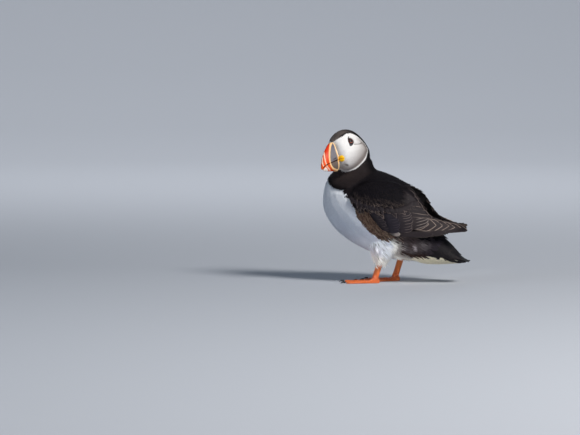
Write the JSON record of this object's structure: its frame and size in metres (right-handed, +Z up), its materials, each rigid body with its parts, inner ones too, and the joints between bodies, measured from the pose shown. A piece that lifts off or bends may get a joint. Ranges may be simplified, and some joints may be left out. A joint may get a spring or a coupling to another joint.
{
  "type": "bird",
  "caption": "Life-size still model of an Atlantic puffin standing on webbed feet, wings folded and head turned to its left, with its deep ridged summer bill.",
  "frame": {"origin": "bottom centre of the bounding box, on the floor between and just beside the feet", "axes": "+Z up, the bird faces -X, its left side faces -Y"},
  "size_m": [0.1898, 0.1078, 0.1942],
  "materials": {
    "plumage_pale": "soft matt feathers",
    "plumage_dark": "sleek feathers, slightly glossy on the wing",
    "bill_horn": "smooth ridged horn, semi-gloss",
    "gape_skin": "soft wrinkled skin",
    "leg_skin": "scaly skin, slightly moist",
    "claw_horn": "hard horn",
    "plate_horn": "dull horn",
    "eye": "wet and glossy"
  },
  "bodies": {
    "root": {"head": "plumage_pale", "neck": "plumage_dark", "trunk": "plumage_pale", "tail": "plumage_dark", "wing_left": "plumage_dark", "wing_right": "plumage_dark", "thigh_left": "plumage_pale", "thigh_right": "plumage_pale", "tarsus_left": "leg_skin", "tarsus_right": "leg_skin", "foot_left": "leg_skin", "foot_right": "leg_skin", "bill_upper": "bill_horn", "bill_lower": "bill_horn", "gape_rosette_left": "gape_skin", "gape_rosette_right": "gape_skin", "eye_left": "eye", "eye_right": "eye", "brow_plate_left": "plate_horn", "brow_plate_right": "plate_horn", "under_plate_left": "plate_horn", "under_plate_right": "plate_horn", "claw_left_inner": "claw_horn", "claw_left_middle": "claw_horn", "claw_left_outer": "claw_horn", "claw_right_inner": "claw_horn", "claw_right_middle": "claw_horn", "claw_right_outer": "claw_horn"}
  },
  "joints": []
}
